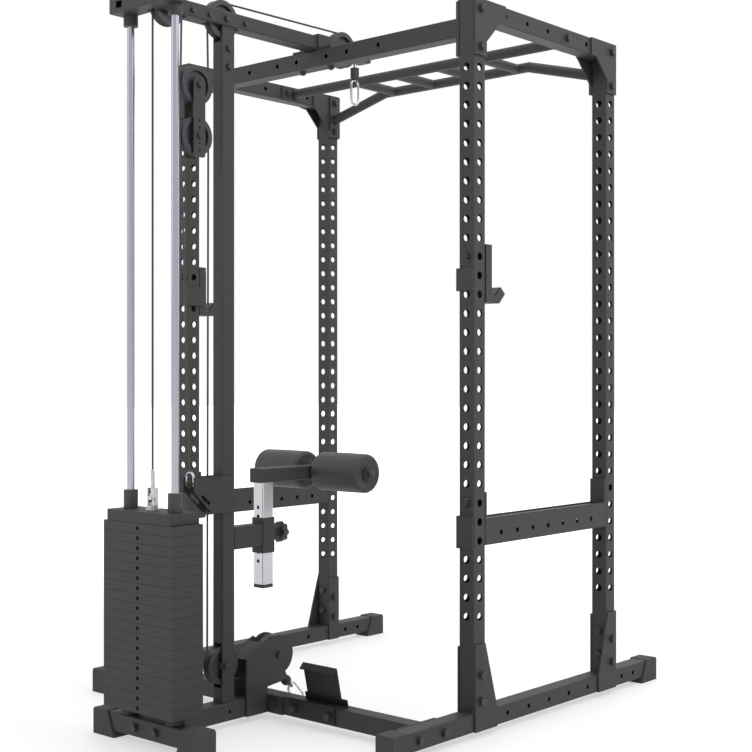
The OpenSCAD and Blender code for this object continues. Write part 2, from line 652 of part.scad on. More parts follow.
module pulley_block() {
    x0 = hub_w / 2 + gap;
    half = 20;
    low = block_lower[1] - 58;
    high = block_upper[1] + 24;
    color(frame_colour) place() {
        both() slab_x(x0, 4) difference() {
            union() {
                translate([block_y - half, low + 8]) square([2 * half, high - low - 8 - half]);
                translate([block_y, high - half]) circle(r = half);
                translate([block_y - half + 8, low]) square([2 * half - 16, 20]);
                for (s = [-1, 1]) translate([block_y + s * (half - 8), low + 8]) circle(r = 8);
            }
            for (k = [-2, -1, 1, 2]) translate([block_y, block_lower[1] + 20 * k]) circle(d = 6);
        }
        for (p = [block_upper, block_lower]) {
            rod_along_x(-x0 - 9, x0 + 9, p[0], p[1], axle_d);
            both() translate([x0 + 4, p[0], p[1]]) rotate([0, 90, 0]) cylinder(d = 19, h = 7, $fn = 6);
        }
    }
}

// Cables
module cable(route) {
    sides = 8;
    r = cable_d / 2;
    path = cable_path(route);
    rings = len(path);
    points = [for (p = path, s = [0 : sides - 1]) let (a = s * 360 / sides)
        [r * cos(a), p[0] - r * sin(a) * sin(p[2]), p[1] + r * sin(a) * cos(p[2])]];
    skin = [for (i = [0 : rings - 2], s = [0 : sides - 1]) let (n = (s + 1) % sides)
        [i * sides + s, i * sides + n, (i + 1) * sides + n, (i + 1) * sides + s]];
    ends = [[for (s = [sides - 1 : -1 : 0]) s], [for (s = [0 : sides - 1]) (rings - 1) * sides + s]];
    polyhedron(points, concat(skin, ends));
}
module lat_cable() { color([0.06, 0.06, 0.07]) place() cable(lat_route); }
module low_cable() { color([0.06, 0.06, 0.07]) place() cable(low_route); }

// Snap hook that hangs down from the origin: a bent rod with a sprung gate on its +Y side
hook_rod = 7;
hook_l = 80;
hook_w = 38;
module hook_bend(z, up) {
    translate([0, 0, z]) rotate([0, 90, 0]) rotate([0, 0, up ? 90 : -90]) rotate_extrude(angle = 180)
        translate([(hook_w - hook_rod) / 2, 0]) circle(d = hook_rod);
}
hook_side = (hook_w - hook_rod) / 2;
module hook_body() {
    hook_bend(-hook_w / 2, true);
    hook_bend(-hook_l + hook_w / 2, false);
    rod_up(0, -hook_side, -hook_l + hook_w / 2, -hook_w / 2, hook_rod);
}
gate_low = -hook_l + hook_w / 2 + 1.6;
module hook_gate() {
    rod_up(0, hook_side, gate_low, -hook_w / 2 - gap, hook_rod - 1);
    rod_along_x(-4, 4, hook_side, gate_low + 2, 2.4);
}
module at_lat() { place() translate([0, lat_end[0], lat_end[1] - stopper_h - stopper_eye]) children(); }
module at_low_ball() { place() translate([0, low_ball[0], low_ball[1]]) rotate([90 + low_tilt, 0, 0]) children(); }
module at_low() { at_low_ball() translate([0, 0, -low_ball_d / 2 - stopper_eye]) children(); }
stopper_h = 31;
stopper_eye = 3;
module lat_stopper() {
    color([0.07, 0.07, 0.08]) place() {
        rod_up(0, lat_end[0], lat_end[1] - stopper_h, lat_end[1] - 1, 26);
        translate([0, lat_end[0], lat_end[1] - stopper_h]) eye(9);
    }
}
// Small loop under a stopper, through which a snap hook hangs
module eye(r) {
    translate([0, 0, -r + 3]) rotate([90, 0, 0]) rotate_extrude() translate([r, 0]) circle(d = 4);
}
module low_stopper() {
    color([0.07, 0.07, 0.08]) at_low_ball() {
        rotate_extrude() half_disc(low_ball_d);
        translate([0, 0, -low_ball_d / 2]) eye(9);
    }
}
module lat_carabiner() { color([0.80, 0.80, 0.82]) at_lat() hook_body(); }
module lat_gate() { color([0.80, 0.80, 0.82]) at_lat() hook_gate(); }
module low_carabiner() { color([0.80, 0.80, 0.82]) at_low() hook_body(); }
module low_gate() { color([0.80, 0.80, 0.82]) at_low() hook_gate(); }

// J-cup on a rear upright, opening into the cage
module jcup() {
    face = -inner_y + gap;
    back = -uy - ht - gap;
    z = jcup_z;
    slab_x(inner_x, tube + 2) polygon([[face, z - 121], [face + 59, z - 121], [face + 85, z - 95],
        [face + 66, z - 77], [face + 44, z - 99], [face + 26, z - 99], [face + 26, z + 34], [face, z + 34]]);
    block(inner_x - gap - hook_t, inner_x - gap, back - hook_t, face + 12, z - 91, z - 31);
    block(inner_x - gap - hook_t, outer_x - 2, back - hook_t, back, z - 91, z - 31);
    block(inner_x - gap - hook_t, inner_x + 4, face, face + 12, z - 91, z - 31);
    rod_along_y(ux, back - 11, face + 2, z, hook_pin_d);
}
module jcup_right() { color([0.15, 0.15, 0.16]) place() jcup(); }
module jcup_left() { color([0.15, 0.15, 0.16]) place() mirrored() jcup(); }

// Safety arm between a rear and a front upright
arm_wall = 4;
arm_w = tube;
arm_low = arm_z - 114;
arm_h = 72;
module safety_arm() {
    back = -uy - ht - gap;
    rear = -inner_y + gap;
    fore = inner_y - gap;
    difference() {
        block(ux - arm_w / 2, ux + arm_w / 2, rear, fore, arm_low, arm_low + arm_h);
        block(ux - arm_w / 2 + arm_wall, ux + arm_w / 2 - arm_wall, rear + 6, fore - 8,
            arm_low + arm_wall, arm_low + arm_h + cut);
        for (k = [-3 : 3]) rod_along_x(inner_x - cut, outer_x + cut, -5 + 74.5 * k, arm_low + 29, 14);
    }
    block(ux - arm_w / 2, ux + arm_w / 2, rear, rear + 6, arm_low + arm_h, arm_z + 27);
    block(ux - arm_w / 2, ux + arm_w / 2, fore - 8, fore, arm_low + arm_h, arm_z + 27);
    block(inner_x - gap - hook_t, inner_x - gap, back - hook_t, rear + 20, arm_low - 7, arm_low + 79);
    block(inner_x - gap - hook_t, inner_x + arm_wall, rear, rear + 20, arm_low, arm_low + arm_h);
    block(inner_x - gap - hook_t, outer_x - 2, back - hook_t, back, arm_low - 7, arm_low + 79);
    rod_along_y(ux, back - 11, rear + 2, arm_z, hook_pin_d);
    rod_along_y(ux, fore - 2, uy + ht + 8, arm_z, hook_pin_d);
}
module arm_liner() {
    x0 = ux - arm_w / 2 + arm_wall;
    x1 = ux + arm_w / 2 - arm_wall;
    rear = -inner_y + gap + 6;
    fore = inner_y - gap - 8;
    difference() {
        block(x0, x1, rear, fore, arm_low + arm_h - 24, arm_low + arm_h - 4);
        block(x0 + 6, x1 - 6, rear - cut, fore + cut, arm_low + arm_h - 25, arm_low + arm_h - 12);
    }
    block(x0, x0 + 6, rear, fore, arm_low + arm_wall, arm_low + 18);
    block(x1 - 6, x1, rear, fore, arm_low + arm_wall, arm_low + 18);
    for (y = [rear, fore - 20, (rear + fore) / 2 - 47]) both_sides(x0, x1)
        block(0, 6, y, y + 20, arm_low + 10, arm_low + arm_h - 12);
}
module both_sides(x0, x1) {
    translate([x0, 0, 0]) children();
    translate([x1 - 6, 0, 0]) children();
}
module safety_arm_right() { color([0.15, 0.15, 0.16]) place() safety_arm(); }
module safety_arm_left() { color([0.15, 0.15, 0.16]) place() mirrored() safety_arm(); }
module arm_liner_right() { color([0.05, 0.05, 0.06]) place() arm_liner(); }
module arm_liner_left() { color([0.05, 0.05, 0.06]) place() mirrored() arm_liner(); }

// Leg holder
arm_top = sleeve_z + 82;
module leg_holder_arm() {
    color(frame_colour) place() difference() {
        union() {
            slab_y(post_y + post_d / 2, sleeve_y - sleeve_out / 2 - post_y - post_d / 2)
                translate([0, arm_top - 31]) tube_outline(post_w, 62);
            translate([0, sleeve_y, sleeve_z]) linear_extrude(sleeve_h)
                tube_outline(sleeve_out, sleeve_out, sleeve_wall, 5);
            rod_along_y(0, sleeve_y + sleeve_in / 2, sleeve_y + sleeve_out / 2 + 14, knob_z, 24);
        }
        translate([0, sleeve_y, sleeve_z - cut]) linear_extrude(sleeve_h + 2 * cut)
            soft_rect(sleeve_in, sleeve_in, 2);
        rod_along_y(0, sleeve_y, sleeve_y + sleeve_out / 2 + 16, knob_z, knob_rod + 2 * fit);
    }
}
module height_tube() {
    color([0.72, 0.72, 0.75]) place() difference() {
        translate([0, sleeve_y, height_z]) linear_extrude(height_l) tube_outline(height_side, height_side);
        for (k = [-3 : 3]) rod_along_y(0, sleeve_y - height_side, sleeve_y + height_side, knob_z + k * height_pitch,
            knob_rod + 1);
    }
}
module tube_plug() {
    color([0.08, 0.08, 0.09]) place() {
        translate([0, sleeve_y, height_z - 10]) linear_extrude(10) soft_rect(height_side, height_side, tube_r);
        translate([0, sleeve_y, height_z]) linear_extrude(16)
            soft_rect(height_side - 2 * tube_wall - 0.4, height_side - 2 * tube_wall - 0.4, 1.5);
    }
}
module roller_arm() {
    z = height_z + height_l;
    end = 3;
    color(frame_colour) place() {
        slab_y(sleeve_y - 30, roller_axis[0] - sleeve_y + 48) translate([0, z + 20]) tube_outline(46, 40);
        for (y = [sleeve_y - 30, roller_axis[0] + 18 - end]) slab_y(y, end) translate([0, z + 20])
            soft_rect(46, 40, tube_r);
        both() rod_along_x(23 - tube_wall, roller_x1 + 2, roller_axis[0], roller_axis[1], roller_bore);
        both() rod_along_x(roller_x1 + 2, roller_x1 + 6, roller_axis[0], roller_axis[1], 44);
    }
}
roller_x0 = 30;
roller_x1 = roller_x0 + roller_l;
module roller() {
    place() difference() {
        rod_along_x(roller_x0, roller_x1, roller_axis[0], roller_axis[1], roller_d);
        rod_along_x(roller_x0 - cut, roller_x1 + cut, roller_axis[0], roller_axis[1], roller_bore + 2 * gap);
    }
}
module roller_right() { color([0.06, 0.06, 0.07]) roller(); }
module roller_left() { color([0.06, 0.06, 0.07]) mirrored() roller(); }
module clamp_knob() {
    face = sleeve_y + sleeve_out / 2 + 14;
    color([0.06, 0.06, 0.07]) place() {
        rod_along_y(0, sleeve_y + height_side / 2 + gap, face + 20, knob_z, knob_rod);
        rod_along_y(0, face + gap, face + 16, knob_z, 22);
        translate([0, face + 16, knob_z]) rotate([-90, 0, 0]) difference() {
            cylinder(d = 58, h = 20);
            for (k = [0 : 7]) rotate([0, 0, 22.5 + 45 * k]) translate([33, 0, -cut]) cylinder(d = 16, h = 22);
        }
    }
}

base_rail_right();
base_rail_left();
rubber_end_caps();
upright_rear_right();
upright_front_right();
upright_front_left();
upright_rear_left();
top_side_beam_right();
top_side_beam_left();
rear_top_crossbeam();
rear_bottom_crossbeam();
pull_up_bar();
frame_bolts();
tower_post();
lat_boom();
boom_clamp();
stack_top_crossmember();
guide_rods();
stack_base_crossbar();
base_beam();
stack_bumpers();
resting_plates();
low_pulley_housing();
foot_plate();
anchor_bracket();
pulley_axles();
leg_holder_arm();
lat_cable();
low_cable();
stack_top_plate();
lifted_plates();
guide_bushes();
selector_stem();
selector_pin();
lat_stopper();
lat_carabiner();
lat_gate();
pulley_block();
block_upper_pulley();
block_lower_pulley();
low_stopper();
low_carabiner();
low_gate();
stack_top_pulley();
post_top_pulley();
front_pulley();
low_rear_pulley();
low_front_pulley();
jcup_right();
jcup_left();
safety_arm_right();
arm_liner_right();
safety_arm_left();
arm_liner_left();
height_tube();
tube_plug();
roller_arm();
roller_right();
roller_left();
clamp_knob();
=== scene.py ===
import json
import math
import bpy
from mathutils import Matrix, Vector


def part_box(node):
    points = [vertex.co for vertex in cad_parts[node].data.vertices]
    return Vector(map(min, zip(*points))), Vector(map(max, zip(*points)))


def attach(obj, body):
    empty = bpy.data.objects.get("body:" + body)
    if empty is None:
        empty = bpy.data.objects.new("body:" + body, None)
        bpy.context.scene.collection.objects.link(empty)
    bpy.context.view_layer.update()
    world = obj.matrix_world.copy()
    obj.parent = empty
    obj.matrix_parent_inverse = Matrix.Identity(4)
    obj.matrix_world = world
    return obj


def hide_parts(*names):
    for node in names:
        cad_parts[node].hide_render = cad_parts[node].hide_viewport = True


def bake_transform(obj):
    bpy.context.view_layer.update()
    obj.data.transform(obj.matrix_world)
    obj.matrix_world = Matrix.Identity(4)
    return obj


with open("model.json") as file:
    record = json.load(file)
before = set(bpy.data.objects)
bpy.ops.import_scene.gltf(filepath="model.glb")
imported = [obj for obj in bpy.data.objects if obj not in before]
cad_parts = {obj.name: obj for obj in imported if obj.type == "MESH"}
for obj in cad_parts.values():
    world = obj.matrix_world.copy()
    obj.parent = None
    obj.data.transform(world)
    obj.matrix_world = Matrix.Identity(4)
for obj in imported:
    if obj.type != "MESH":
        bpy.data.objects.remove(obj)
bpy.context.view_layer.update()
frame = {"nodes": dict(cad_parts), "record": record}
nodes = frame["nodes"]
print("frame loaded:", len(nodes), "nodes")


# small helpers

def deselect():
    if bpy.context.object and bpy.context.object.mode != "OBJECT":
        bpy.ops.object.mode_set(mode="OBJECT")
    bpy.ops.object.select_all(action="DESELECT")


def pick(obj):
    deselect()
    obj.select_set(True)
    bpy.context.view_layer.objects.active = obj


def applied(obj, kind, **settings):
    pick(obj)
    modifier = obj.modifiers.new(kind.lower(), kind)
    for key, value in settings.items():
        setattr(modifier, key, value)
    bpy.ops.object.modifier_apply(modifier=modifier.name)
    return obj


def meshObject(name, verts, edges=(), faces=()):
    mesh = bpy.data.meshes.new(name)
    mesh.from_pydata([tuple(v) for v in verts], [tuple(e) for e in edges], [tuple(f) for f in faces])
    obj = bpy.data.objects.new(name, mesh)
    bpy.context.scene.collection.objects.link(obj)
    return obj


def smooth(obj, angle=35):
    pick(obj)
    bpy.ops.object.shade_smooth_by_angle(angle=math.radians(angle))
    return obj


def outward(obj, merge=0.00002):
    pick(obj)
    bpy.ops.object.mode_set(mode="EDIT")
    bpy.ops.mesh.select_all(action="SELECT")
    bpy.ops.mesh.remove_doubles(threshold=merge)
    bpy.ops.mesh.normals_make_consistent(inside=False)
    bpy.ops.object.mode_set(mode="OBJECT")
    return obj


def lathe(name, profile, centre, axis="X", steps=96):
    # profile: (radius, distance along the axis), closed by the spin when it starts and ends at radius 0
    along = {"X": Vector((1, 0, 0)), "Y": Vector((0, 1, 0)), "Z": Vector((0, 0, 1))}[axis]
    out = {"X": Vector((0, 0, 1)), "Y": Vector((0, 0, 1)), "Z": Vector((1, 0, 0))}[axis]
    centre = Vector(centre)
    verts = [centre + out * r + along * d for r, d in profile]
    obj = meshObject(name, verts, [(i, i + 1) for i in range(len(verts) - 1)])
    pick(obj)
    bpy.ops.object.mode_set(mode="EDIT")
    bpy.ops.mesh.select_all(action="SELECT")
    bpy.ops.mesh.spin(steps=steps, angle=2 * math.pi, center=centre, axis=along)
    bpy.ops.object.mode_set(mode="OBJECT")
    return outward(obj)


def finishPiece(obj, body, slotName, material, *replaced):
    obj.data.materials.clear()
    obj.data.materials.append(material)
    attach(obj, body)
    if replaced:
        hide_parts(*replaced)
    return obj


# shader maths

class Wire:
    # a socket that adds its own Math nodes
    def __init__(self, graph, socket):
        self.graph = graph
        self.socket = socket

    def join(self, operation, other, swapped=False):
        pair = (other, self) if swapped else (self, other)
        return self.graph.add("ShaderNodeMath", {"operation": operation}, *pair)

    def __add__(self, other):
        return self.join("ADD", other)

    def __radd__(self, other):
        return self.join("ADD", other, True)

    def __sub__(self, other):
        return self.join("SUBTRACT", other)

    def __mul__(self, other):
        return self.join("MULTIPLY", other)

    def __truediv__(self, other):
        return self.join("DIVIDE", other)


class Graph:
    def __init__(self, name):
        self.material = bpy.data.materials.new(name)
        self.material.use_nodes = True
        self.tree = self.material.node_tree
        self.shader = self.tree.nodes["Principled BSDF"]
        self.place = self.add("ShaderNodeTexCoord", {}, out="Object")

    def add(self, kind, settings, *values, out=0, **named):
        # settings first, then the values or links of its sockets
        node = self.tree.nodes.new(kind)
        for key, value in settings.items():
            if key == "stops":
                self.setStops(node.color_ramp, value)
            else:
                setattr(node, key, value)
        for key, value in list(enumerate(values)) + list(named.items()):
            self.feed(node.inputs[key], value)
        return Wire(self, node.outputs[out])

    def setStops(self, ramp, stops):
        while len(ramp.elements) < len(stops):
            ramp.elements.new(0.5)
        for element, (position, colour) in zip(ramp.elements, stops):
            element.position = position
            element.color = colour

    def feed(self, socket, value):
        if isinstance(value, Wire):
            self.tree.links.new(value.socket, socket)
        else:
            socket.default_value = value

    def noise(self, scale, detail=2, rough=0.5):
        return self.add("ShaderNodeTexNoise", {"noise_dimensions": "3D"}, out="Fac",
                        Vector=self.place, Scale=scale, Detail=detail, Roughness=rough)

    def mixBy(self, factor, first, second):
        node = self.tree.nodes.new("ShaderNodeMix")
        node.data_type = "RGBA"
        self.feed(node.inputs[0], factor)
        self.feed(node.inputs[6], first)
        self.feed(node.inputs[7], second)
        return Wire(self, node.outputs[2])

    def bump(self, height, strength, distance):
        return self.add("ShaderNodeBump", {}, out="Normal", Height=height, Strength=strength, Distance=distance)

    def finish(self, colour, roughness, normal=None, **constants):
        self.feed(self.shader.inputs["Base Color"], colour)
        self.feed(self.shader.inputs["Roughness"], roughness)
        if normal is not None:
            self.feed(self.shader.inputs["Normal"], normal)
        for key, value in constants.items():
            self.shader.inputs[key.replace("_", " ")].default_value = value
        return self.material


def rgb(r, g, b):
    return (r, g, b, 1.0)


def powderCoat(name, dark, light, gloss=0.46):
    g = Graph(name)
    cloud = g.noise(3.2, 3)
    fleck = g.noise(420, 2, 0.6)
    peel = g.noise(850, 3, 0.55)
    scuffStops = [(0.66, rgb(0, 0, 0)), (0.82, rgb(1, 1, 1))]
    scuff = g.add("ShaderNodeValToRGB", {"stops": scuffStops}, g.noise(38, 5, 0.7))
    base = g.mixBy(cloud, rgb(*dark), rgb(*light))
    colour = g.mixBy(fleck * 0.22, base, rgb(*[min(1, c * 1.7) for c in light]))
    rough = gloss + cloud * 0.10 + fleck * 0.08
    mask = g.add("ShaderNodeMath", {"operation": "MULTIPLY"}, scuff, 0.06)
    return g.finish(colour, rough - mask, g.bump(peel + fleck * 0.5, 0.16, 0.0006), Specular_IOR_Level=0.34)


def rubberMaterial(name, colour=(0.026, 0.026, 0.028)):
    g = Graph(name)
    grain = g.noise(520, 4, 0.6)
    dust = g.noise(14, 4, 0.6)
    lift = tuple(c * 2.1 for c in colour)
    shade = g.mixBy(dust * 0.45 + grain * 0.15, rgb(*colour), rgb(*lift))
    return g.finish(shade, 0.68 + grain * 0.18, g.bump(grain, 0.25, 0.0008), Specular_IOR_Level=0.35)


def mouldedPlastic(name, colour=(0.018, 0.018, 0.020), gloss=0.34):
    g = Graph(name)
    spark = g.noise(900, 2, 0.5)
    flow = g.noise(22, 3, 0.5)
    shade = g.mixBy(flow * 0.5, rgb(*colour), rgb(*[c * 1.8 for c in colour]))
    rough = gloss + spark * 0.12 + flow * 0.06
    return g.finish(shade, rough, g.bump(spark, 0.10, 0.0004), Specular_IOR_Level=0.5)


def polishedSteel(name, tint, rough):
    # brushed lines run along Z
    g = Graph(name)
    stretched = g.add("ShaderNodeMapping", {}, Vector=g.place, Scale=(900, 900, 4))
    brush = g.add("ShaderNodeTexNoise", {}, out="Fac", Vector=stretched, Scale=1.0, Detail=3)
    haze = g.noise(9, 3)
    shade = g.mixBy(haze * 0.5, rgb(*tint), rgb(*[c * 0.86 for c in tint]))
    return g.finish(shade, rough + brush * 0.10 + haze * 0.05, g.bump(brush, 0.05, 0.0002), Metallic=1.0)


def blackOxide(name):
    g = Graph(name)
    wear = g.noise(120, 4, 0.65)
    shade = g.mixBy(wear, rgb(0.016, 0.016, 0.017), rgb(0.05, 0.05, 0.052))
    return g.finish(shade, 0.36 + wear * 0.2, g.bump(wear, 0.1, 0.0004), Metallic=0.35)


def foamSkin(name):
    # close-grained moulded skin with faint pores
    g = Graph(name)
    pores = g.add("ShaderNodeTexVoronoi", {"feature": "F1"}, out="Distance", Vector=g.place, Scale=620)
    cloud = g.noise(18, 4, 0.6)
    wrinkle = g.noise(150, 4, 0.6)
    shade = g.mixBy(cloud, rgb(0.014, 0.014, 0.015), rgb(0.030, 0.030, 0.032))
    return g.finish(shade, 0.42 + cloud * 0.14 + wrinkle * 0.08, g.bump(pores + wrinkle * 0.8, 0.2, 0.0008),
                    Specular_IOR_Level=0.45, Sheen_Weight=0.08)


def cableJacket(name):
    g = Graph(name)
    streak = g.noise(240, 3)
    shade = g.mixBy(streak, rgb(0.012, 0.012, 0.013), rgb(0.028, 0.028, 0.030))
    return g.finish(shade, 0.30 + streak * 0.15, g.bump(streak, 0.08, 0.0003), Specular_IOR_Level=0.5)


mats = {
    "frame_black": powderCoat("frame powder coat", (0.019, 0.019, 0.020), (0.025, 0.025, 0.026)),
    "stack_grey": powderCoat("plate powder coat", (0.020, 0.020, 0.0205), (0.027, 0.027, 0.0275), 0.5),
    "plate_black": powderCoat("foot plate coat", (0.005, 0.005, 0.0055), (0.008, 0.008, 0.0085), 0.42),
    "rubber": rubberMaterial("cap rubber"),
    "rod_chrome": polishedSteel("guide rod chrome", (0.37, 0.37, 0.42), 0.16),
    "bright_steel": polishedSteel("satin steel", (0.50, 0.50, 0.52), 0.22),
    "bolt_black": blackOxide("bolt oxide"),
    "black_plastic": mouldedPlastic("moulded nylon"),
    "cable_jacket": cableJacket("cable jacket"),
    "foam": foamSkin("roller skin"),
}
for entry in frame["record"]["subparts"]:
    holder = nodes[entry["node"]]
    holder.data.materials.clear()
    holder.data.materials.append(mats[entry["material_slot"]])
print("materials:", len(mats))

# camera, lights and floor

cameraSettings = {"place": (2.7237, -2.9606, 0.953), "turn": 41.346, "lens": 64.19, "sensor": 36.0}
bpy.ops.object.camera_add(location=cameraSettings["place"],
                          rotation=(math.radians(90), 0, math.radians(cameraSettings["turn"])))
camera = bpy.context.object
camera.data.lens = cameraSettings["lens"]
camera.data.sensor_width = cameraSettings["sensor"]
camera.data.dof.use_dof = False
bpy.context.scene.camera = camera


def areaLight(name, place, target, size, power, tint=(1, 1, 1)):
    bpy.ops.object.light_add(type="AREA", location=place)
    lamp = bpy.context.object
    lamp.name = name
    lamp.data.size = size
    lamp.data.energy = power
    lamp.data.color = tint
    lamp.rotation_euler = (Vector(target) - Vector(place)).to_track_quat("-Z", "Y").to_euler()
    return lamp


areaLight("key", (3.6, 0.4, 4.2), (0, 0, 0.9), 2.6, 95)
areaLight("fill", (-2.8, -4.2, 3.2), (0, 0, 1.0), 3.5, 30)
areaLight("top", (0.2, 0.3, 5.5), (0, 0, 0.5), 4.0, 70)
areaLight("front", (0.5, 4.6, 2.6), (0, 0, 1.0), 3.0, 30)

bpy.ops.mesh.primitive_plane_add(size=60, location=(0, 0, 0))
floor = bpy.context.object
floor.name = "floor"
floorGraph = Graph("pale floor")
# a pale glowing floor: its emission colour is greyer near the cage as painted shade around it, and fades to white
# away from the cage
reach = floorGraph.add("ShaderNodeVectorMath", {"operation": "LENGTH"}, floorGraph.place, out="Value")
paintedShadeStops = [(0.26, rgb(0.52, 0.52, 0.52)), (0.62, rgb(1, 1, 1))]
paintedFloorShade = floorGraph.add("ShaderNodeValToRGB", {"stops": paintedShadeStops}, reach / 6.0)
# the emission colour paints the shade near the cage and a white glow farther off
floorGraph.feed(floorGraph.shader.inputs["Emission Color"], paintedFloorShade)
floorShade = floorGraph.mixBy(floorGraph.noise(0.8), rgb(0.34, 0.34, 0.34), rgb(0.36, 0.36, 0.36))
floor.data.materials.append(floorGraph.finish(floorShade, 0.6, Emission_Strength=1.0))

world = bpy.data.worlds.new("studio")
bpy.context.scene.world = world
world.use_nodes = True
world.node_tree.nodes["Background"].inputs[0].default_value = (1.0, 1.0, 1.0, 1.0)
world.node_tree.nodes["Background"].inputs[1].default_value = 1.0
bpy.context.scene.view_settings.view_transform = "Standard"
print("camera and lights set")

# cables: fixed runs, wraps that travel with the block, and straight strands laid between bodies

cableLook = {"diameter": 0.0055, "sides": 14, "strandRings": 40}


def centre(node):
    low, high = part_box(node)
    return (low + high) / 2


def flat(point):
    return (point[1], point[2])


def swept(name, verts, rings, sides, angle):
    # quads between neighbouring rings, and a cap at each end
    faces = []
    for ring in range(0, (rings - 1) * sides, sides):
        for s in range(sides):
            t = (s + 1) % sides
            faces.append((ring + s, ring + t, ring + sides + t, ring + sides + s))
    faces += [tuple(range(sides)), tuple((rings - 1) * sides + s for s in range(sides))]
    return smooth(outward(meshObject(name, verts, (), faces), 0.000001), angle)


def tubeAlong(name, path, radius, sides):
    # path: points in the YZ plane at x = 0
    rings = []
    for i, (y, z) in enumerate(path):
        a = path[max(i - 1, 0)]
        b = path[min(i + 1, len(path) - 1)]
        heading = math.atan2(b[1] - a[1], b[0] - a[0])
        for s in range(sides):
            t = 2 * math.pi * s / sides
            rings.append((radius * math.cos(t), y - radius * math.sin(t) * math.sin(heading),
                          z + radius * math.sin(t) * math.cos(heading)))
    return swept(name, rings, len(path), sides, 60)


def headingOf(a, b):
    gap = (b[0] - a[0], b[1] - a[1])
    return math.atan2(gap[1], gap[0]) - math.asin((a[2] - b[2]) / math.hypot(*gap))


def onWheel(wheel, heading):
    return (wheel[0] - wheel[2] * math.sin(heading), wheel[1] + wheel[2] * math.cos(heading))


def wrapRound(before, wheel, after, steps=24):
    start = headingOf(before, wheel)
    turn = headingOf(wheel, after) - start
    while wheel[2] > 0 and turn > 0:
        turn -= 2 * math.pi
    while wheel[2] < 0 and turn < 0:
        turn += 2 * math.pi
    return [onWheel(wheel, start + turn * i / steps) for i in range(steps + 1)]


def straight(a, b, count):
    return [(a[0] + (b[0] - a[0]) * i / count, a[1] + (b[1] - a[1]) * i / count) for i in range(count + 1)]


ratios = {c["joint"]: c["ratio"] for c in frame["record"]["behaviour"]["couplings"]}
pitch = 1 / abs(ratios["front_spin"])
cableR = cableLook["diameter"] / 2


def wheel(node, sign):
    y, z = flat(centre(node))
    return (y, z, sign * pitch)


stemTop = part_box("selector_stem")[1].z
stemY = centre("selector_stem").y
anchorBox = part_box("anchor_bracket")
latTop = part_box("lat_stopper")[1].z + 0.001
latY = centre("lat_stopper").y
lowBall = {"radius": 0.015, "slope": math.radians(-51)}
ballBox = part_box("low_stopper")
ballCentre = (ballBox[0].y + lowBall["radius"], ballBox[1].z - lowBall["radius"])
lowEnd = (ballCentre[0] - (lowBall["radius"] + 0.001) * math.cos(lowBall["slope"]),
          ballCentre[1] - (lowBall["radius"] + 0.001) * math.sin(lowBall["slope"]))
nose = flat(centre("low_front_pulley"))
leadR = 0.060
latRoute = [(stemY, stemTop, 0), wheel("stack_top_pulley", 1), wheel("block_upper_pulley", -1),
            wheel("post_top_pulley", 1), wheel("front_pulley", 1), (latY, latTop, 0)]
anchorPoint = (anchorBox[0].y + 0.012, anchorBox[1].z - 0.004, 0)
lowRoute = [anchorPoint, wheel("block_lower_pulley", 1), wheel("low_rear_pulley", -1),
            (nose[0], nose[1] - pitch - leadR, leadR), (lowEnd[0], lowEnd[1], 0)]


def cableRun(name, path, body):
    piece = tubeAlong(name, path, cableR, cableLook["sides"])
    return finishPiece(piece, body, "cable_jacket", mats["cable_jacket"])


def cableStrand(name, path):
    # the path runs from the fixed end to the moving end
    piece = tubeAlong(name, path, cableR, cableLook["sides"])
    piece.data.materials.append(mats["cable_jacket"])
    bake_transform(piece)
    return piece


many = cableLook["strandRings"]
latWraps = [wrapRound(*latRoute[i - 1:i + 2]) for i in range(1, len(latRoute) - 1)]
lowWraps = [wrapRound(*lowRoute[i - 1:i + 2]) for i in range(1, len(lowRoute) - 1)]
overStack, underBlock, overPost, overFront = latWraps
overBlock, underRear, noseBend = lowWraps
stemEnd = onWheel(latRoute[0], headingOf(*latRoute[:2]))
latCable = cableRun("lat_cable_over_stack", overStack, "root")
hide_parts("lat_cable")
cableStrand("lat_cable_to_stack", straight(overStack[0], stemEnd, many))
cableStrand("lat_cable_down_to_block", straight(overStack[-1], underBlock[0], many))
cableRun("lat_cable_under_block", underBlock, "block")
cableStrand("lat_cable_up_to_post", straight(overPost[0], underBlock[-1], many))
cableRun("lat_cable_along_boom", overPost + straight(overPost[-1], overFront[0], 6)[1:-1] + overFront, "root")
cableStrand("lat_cable_to_grip", straight(overFront[-1], (latY, latTop), many))
lowCable = cableRun("low_cable_under_rear",
                    underRear + straight(underRear[-1], noseBend[0], 6)[1:], "root")
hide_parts("low_cable")
cableStrand("low_cable_from_anchor", straight(flat((0, *anchorPoint[:2])), overBlock[0], many))
cableRun("low_cable_over_block", overBlock, "block")
cableStrand("low_cable_down_to_rear", straight(underRear[0], overBlock[-1], many))
cableStrand("low_cable_to_grip", noseBend + straight(noseBend[-1], lowEnd, 6)[1:])

# swaged sleeve at the stem end and the grip end of the lat cable
ferrule = {"radius": 0.0052, "length": 0.030}


def addFerrule(name, place, body):
    r, top = ferrule["radius"], ferrule["length"]
    outline = [(0, -0.001), (r, 0), (r, top * 0.8), (r * 0.72, top), (0, top)]
    piece = lathe(name, outline, (0, 0, 0), "Z", 32)
    piece.data.transform(Matrix.Translation((0, *place)))
    return finishPiece(smooth(piece, 40), body, "bright_steel", mats["bright_steel"])


addFerrule("stem_ferrule", (stemY, stemTop), "stack")
addFerrule("lat_ferrule", (latY, latTop - 0.001), "lat_grip")
print("cables laid")

# frame and hardware: CAD shapes with softened edges

bodyOf = {node: body for body, members in frame["record"]["behaviour"]["bodies"].items() for node in members}
slotOf = {entry["node"]: entry["material_slot"] for entry in frame["record"]["subparts"]}


def finishNode(piece, node, *replaced):
    return finishPiece(piece, bodyOf[node], slotOf[node], mats[slotOf[node]], *replaced)


